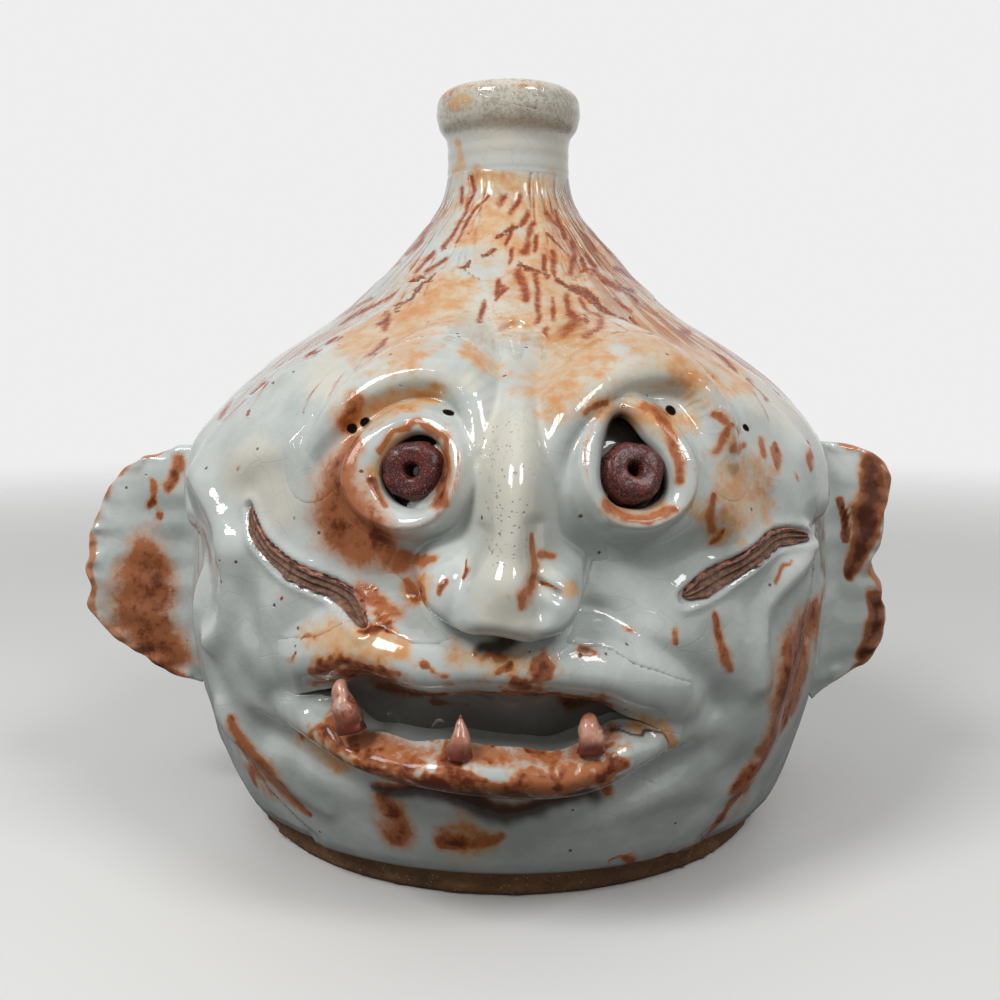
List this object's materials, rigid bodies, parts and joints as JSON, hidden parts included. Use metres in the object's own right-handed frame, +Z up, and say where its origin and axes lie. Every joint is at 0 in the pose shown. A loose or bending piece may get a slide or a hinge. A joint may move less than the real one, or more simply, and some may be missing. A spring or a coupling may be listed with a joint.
{
  "type": "face jug",
  "caption": "Thrown stoneware jug with a short corked neck, dressed with applied clay as a grotesque face whose ring-bead eyes lie loose in their sockets.",
  "frame": {"origin": "centre of the foot, on the surface that the jug stands on", "axes": "+Z up along the jug's axis and the neck's bore, the face looks along -Y, +X to the viewer's right"},
  "size_m": [0.2389, 0.2159, 0.212],
  "materials": {
    "pale_glaze": "glossy pale blue-white glaze with iron-red breaks and pinholes",
    "iron_glaze": "glossy pale glaze broken iron red on its crests",
    "fang_glaze": "glossy pinkish tan glaze",
    "bead_glaze": "glossy dark maroon with fine sparkle",
    "raw_clay": "bare brown gritty stoneware",
    "scar_clay": "bare ridged brown clay with glazed red edges"
  },
  "bodies": {
    "jug": {"foot_slab": "raw_clay", "thrown_body": "pale_glaze", "neck_collar": "pale_glaze", "face_mask": "pale_glaze", "nose": "pale_glaze", "left_brow": "pale_glaze", "right_brow": "pale_glaze", "left_eye_rim": "pale_glaze", "right_eye_rim": "pale_glaze", "upper_lip": "iron_glaze", "lower_lip": "iron_glaze", "left_fang": "fang_glaze", "middle_fang": "fang_glaze", "right_fang": "fang_glaze", "left_ear": "iron_glaze", "right_ear": "iron_glaze", "left_scar_coil": "scar_clay", "right_scar_coil": "scar_clay"},
    "left_eye": {"left_eye_bead": "bead_glaze"},
    "right_eye": {"right_eye_bead": "bead_glaze"}
  },
  "joints": [
    {"name": "left_eye_nod", "type": "hinge", "parent": "jug", "child": "left_eye", "pos_m": [-0.02025, -0.09873, 0.10854], "axis": [1, 0, 0], "range_deg": [-17, 33]},
    {"name": "right_eye_nod", "type": "hinge", "parent": "jug", "child": "right_eye", "pos_m": [0.02674, -0.09742, 0.1077], "axis": [1, 0, 0], "range_deg": [-2, 48]}
  ]
}
